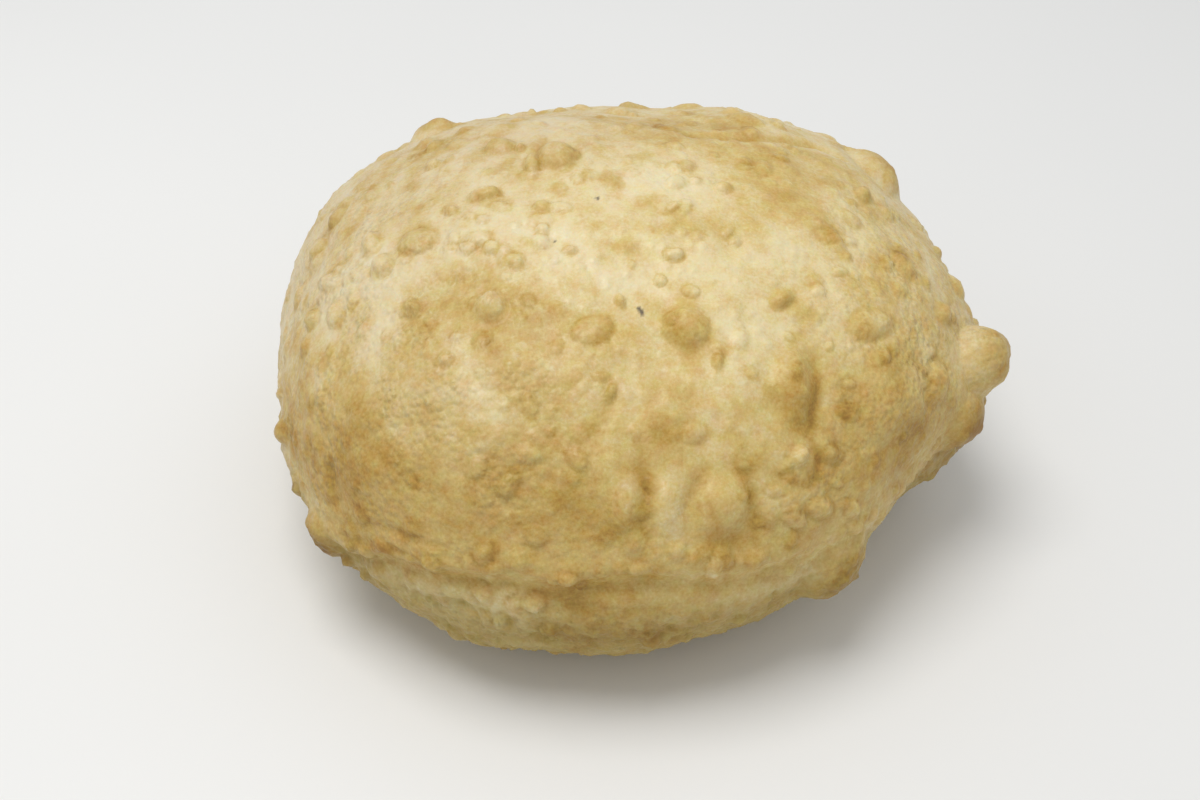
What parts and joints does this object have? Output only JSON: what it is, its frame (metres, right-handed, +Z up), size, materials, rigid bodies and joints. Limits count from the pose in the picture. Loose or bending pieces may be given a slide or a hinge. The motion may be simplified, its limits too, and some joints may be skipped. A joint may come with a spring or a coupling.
{
  "type": "bhatura",
  "caption": "Deep-fried leavened bread puffed into an oval dome over a shallow belly, blistered all over, with knobs on its rim and a flat spot to rest on.",
  "frame": {"origin": "middle of the bounding box, at the level of the flat spot that the bread rests on", "axes": "+X along the length towards the end with the two knobs, +Y to the back, +Z up"},
  "size_m": [0.226, 0.2092, 0.1184],
  "materials": {
    "fried_dough": "thin fried crust, pale cream to golden brown, faintly oily"
  },
  "bodies": {
    "root": {"bhatura": "fried_dough"}
  },
  "joints": []
}
